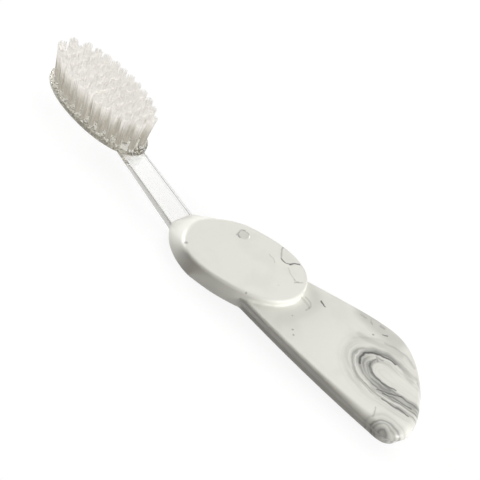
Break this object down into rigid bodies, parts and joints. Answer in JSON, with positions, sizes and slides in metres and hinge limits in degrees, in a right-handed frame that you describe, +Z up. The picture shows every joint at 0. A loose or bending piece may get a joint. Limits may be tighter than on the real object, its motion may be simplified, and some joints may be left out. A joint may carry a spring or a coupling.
{
  "type": "manual toothbrush",
  "caption": "Wide-headed manual toothbrush: a clear oval head with upright bristle tufts on a sloping neck that plugs into a marbled handle with a turned thumb pad and wing-shaped grip.",
  "frame": {"origin": "bottom centre of the whole brush's box, on the surface that the brush lies on", "axes": "+X points along the brush to the tip of its head, +Z points up the way the bristles stand, and +Y is to the left seen from above with the head's tip pointing away"},
  "size_m": [0.1752, 0.043, 0.0262],
  "materials": {
    "handle_plastic": "moulded cream-white plastic with grey marbling, satin gloss",
    "head_plastic": "clear colourless moulded plastic, polished",
    "bristle_nylon": "milky white nylon filaments",
    "anchor_metal": "flat drawn wire, nickel silver"
  },
  "bodies": {
    "handle": {"handle": "handle_plastic"},
    "head": {"brush_head": "head_plastic", "tuft_row_01": "bristle_nylon", "tuft_row_02": "bristle_nylon", "tuft_row_03": "bristle_nylon", "tuft_row_04": "bristle_nylon", "tuft_row_05": "bristle_nylon", "tuft_row_06": "bristle_nylon", "tuft_row_07": "bristle_nylon", "tuft_row_08": "bristle_nylon", "tuft_row_09": "bristle_nylon", "tuft_row_10": "bristle_nylon", "tuft_row_11": "bristle_nylon", "tuft_row_12": "bristle_nylon", "anchor_row_01": "anchor_metal", "anchor_row_02": "anchor_metal", "anchor_row_03": "anchor_metal", "anchor_row_04": "anchor_metal", "anchor_row_05": "anchor_metal", "anchor_row_06": "anchor_metal", "anchor_row_07": "anchor_metal", "anchor_row_08": "anchor_metal", "anchor_row_09": "anchor_metal", "anchor_row_10": "anchor_metal", "anchor_row_11": "anchor_metal", "anchor_row_12": "anchor_metal"}
  },
  "joints": [
    {"name": "head_pull", "type": "slide", "parent": "handle", "child": "head", "axis": [1, 0, 0], "range_m": [0, 0.016]}
  ]
}
